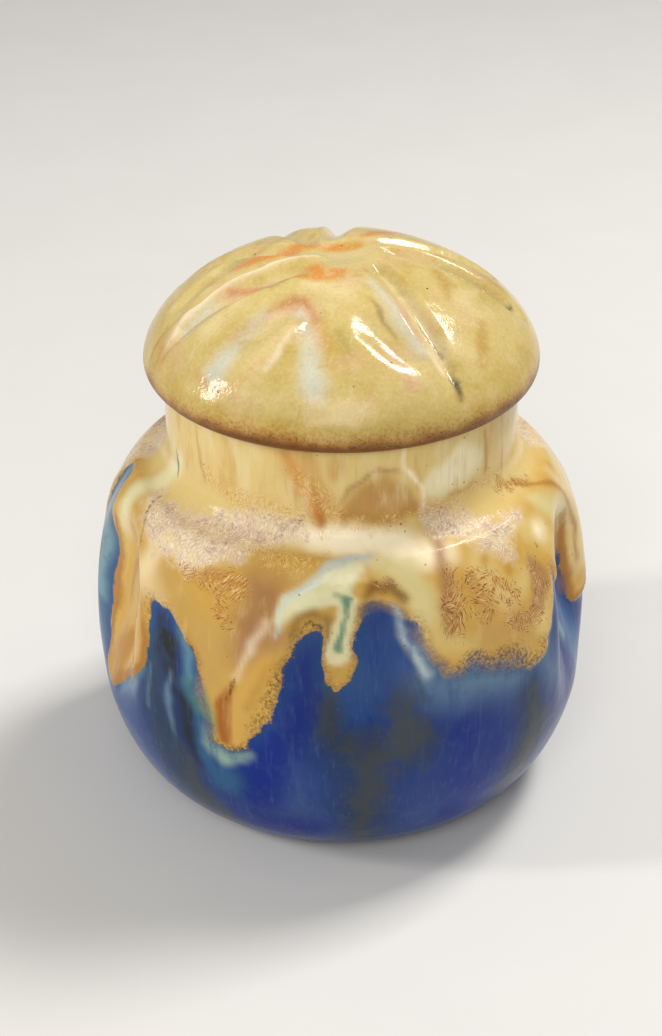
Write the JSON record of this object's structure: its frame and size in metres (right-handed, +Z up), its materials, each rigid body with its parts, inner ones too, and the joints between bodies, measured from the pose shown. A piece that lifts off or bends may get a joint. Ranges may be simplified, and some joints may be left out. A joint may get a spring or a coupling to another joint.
{
  "type": "lidded pot",
  "caption": "Lobed ceramic pot with a plain neck and a domed, folded lid that lifts off; an ochre glaze runs down over cobalt blue.",
  "frame": {"origin": "centre of the foot, on the surface that the pot stands on", "axes": "+Z up along the pot's axis, -Y towards the front, +X to the viewer's right"},
  "size_m": [0.1028, 0.1019, 0.1145],
  "materials": {
    "body_glaze": "gloss, ochre runs over cobalt blue",
    "lid_glaze": "gloss straw yellow"
  },
  "bodies": {
    "pot": {"pot": "body_glaze"},
    "lid": {"lid": "lid_glaze"}
  },
  "joints": [
    {"name": "lid_lift", "type": "slide", "parent": "pot", "child": "lid", "axis": [0, 0, 1], "range_m": [0, 0.06]}
  ]
}
